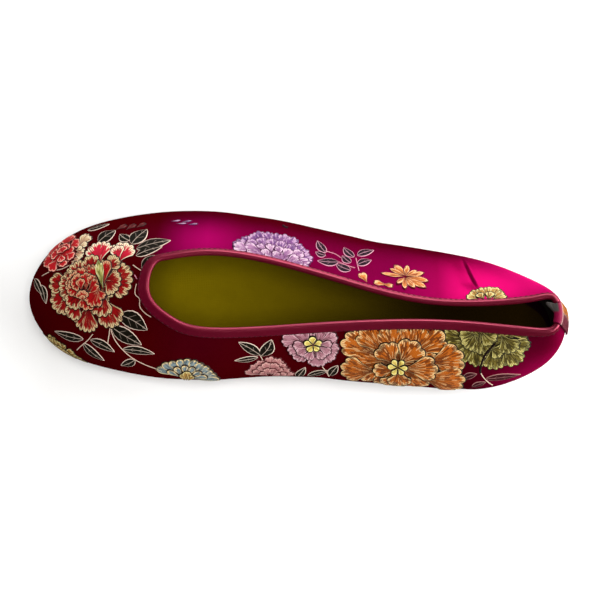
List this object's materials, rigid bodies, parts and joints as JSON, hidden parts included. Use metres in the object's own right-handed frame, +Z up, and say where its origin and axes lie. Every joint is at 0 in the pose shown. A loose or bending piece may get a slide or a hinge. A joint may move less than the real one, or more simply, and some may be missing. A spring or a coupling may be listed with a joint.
{
  "type": "embroidered ballet flat",
  "caption": "Right embroidered ballet flat: low scooped throat, bound collar, folded strip over the back seam, bare insole, thin outsole with a low heel.",
  "frame": {"origin": "middle of the shoe's box in plan, on the floor that the sole stands on", "axes": "+Z up, +X from toe to heel, +Y towards the lateral side"},
  "size_m": [0.2419, 0.078, 0.0548],
  "materials": {
    "outsole_rubber": "matte",
    "upper_satin": "satin",
    "insole_sock": "matte",
    "binding_tape": "matte",
    "strip_brocade": "satin"
  },
  "bodies": {
    "root": {"outsole": "outsole_rubber", "upper": "upper_satin", "insole": "insole_sock", "collar_binding": "binding_tape", "back_strip": "strip_brocade"}
  },
  "joints": []
}
